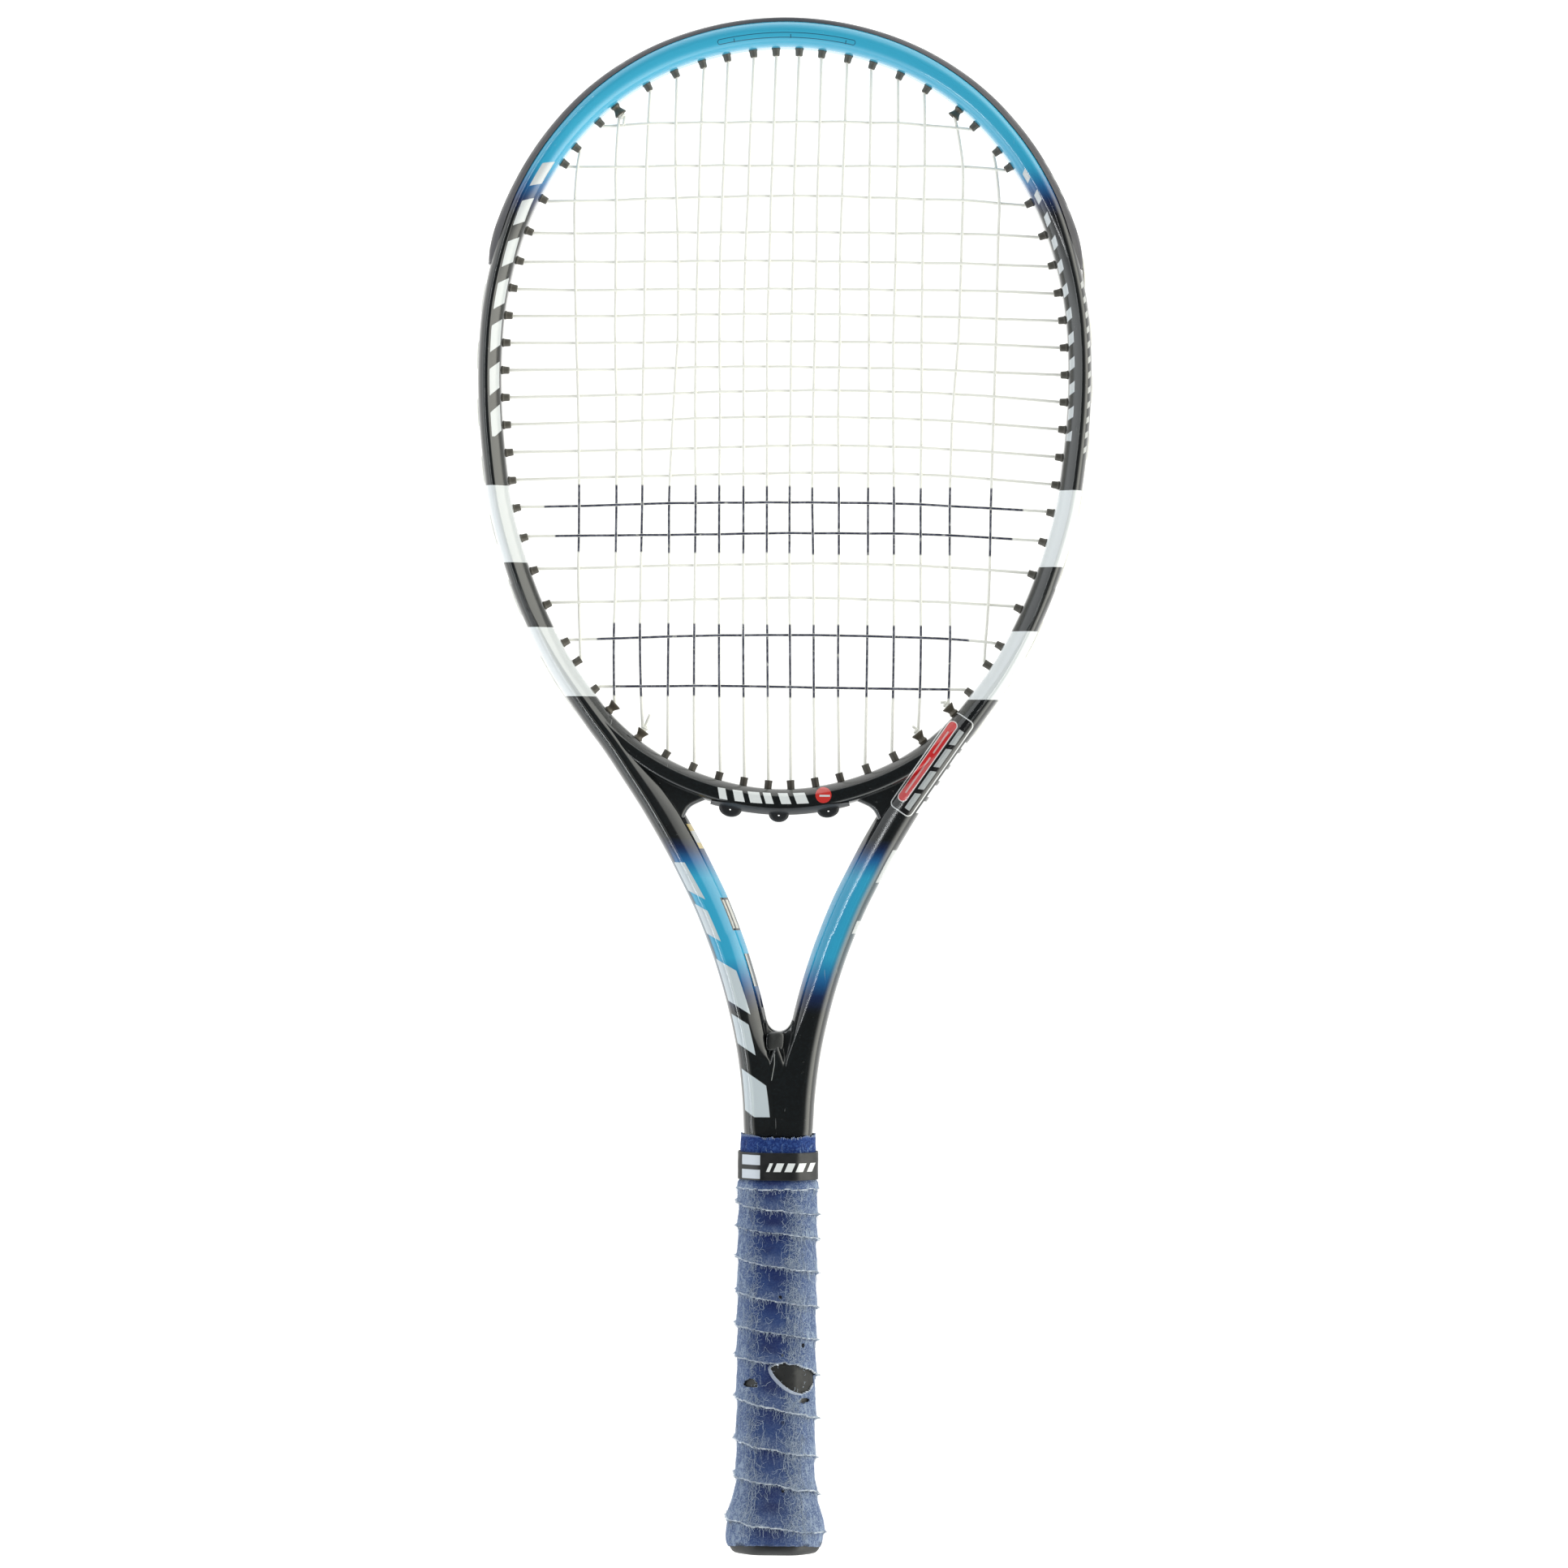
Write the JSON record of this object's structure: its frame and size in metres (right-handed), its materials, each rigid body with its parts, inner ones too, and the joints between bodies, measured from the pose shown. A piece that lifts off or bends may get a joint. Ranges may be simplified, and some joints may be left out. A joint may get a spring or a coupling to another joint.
{
  "type": "tennis racket",
  "caption": "Strung junior tennis racket with an open throat, woven string bed, grommet strips, bumper guard and an octagonal handle wrapped in overgrip.",
  "frame": {"origin": "centre of the flat end face of the butt cap", "axes": "+Y along the racket from the butt to the tip of the head, +X to the right across the face, +Z out of the string face towards the viewer"},
  "size_m": [0.265, 0.6602, 0.0364],
  "materials": {
    "frame_paint": "gloss paint on composite, black with a sky-blue head and throat and plain white bands",
    "bumper_plastic": "satin moulded nylon, scuffed",
    "grommet_plastic": "satin moulded nylon",
    "string": "off-white synthetic gut with plain dark ink bands",
    "pallet_foam": "moulded rigid foam",
    "base_grip_leather": "black cushioned grip with small perforations",
    "overgrip_cloth": "worn blue felt-like overgrip with frayed pale edges",
    "tape": "black vinyl tape with a plain pale pattern",
    "butt_rubber": "matt black moulding",
    "staple_steel": "zinc-plated wire"
  },
  "bodies": {
    "root": {"frame": "frame_paint", "bumper_guard": "bumper_plastic", "side_grommets_left": "grommet_plastic", "side_grommets_right": "grommet_plastic", "bridge_grommets": "grommet_plastic", "main_string": "string", "cross_string": "string", "handle_pallet": "pallet_foam", "base_grip": "base_grip_leather", "overgrip": "overgrip_cloth", "finishing_tape": "tape", "butt_cap": "butt_rubber", "butt_door": "butt_rubber", "cap_staple_left": "staple_steel", "cap_staple_right": "staple_steel"}
  },
  "joints": []
}
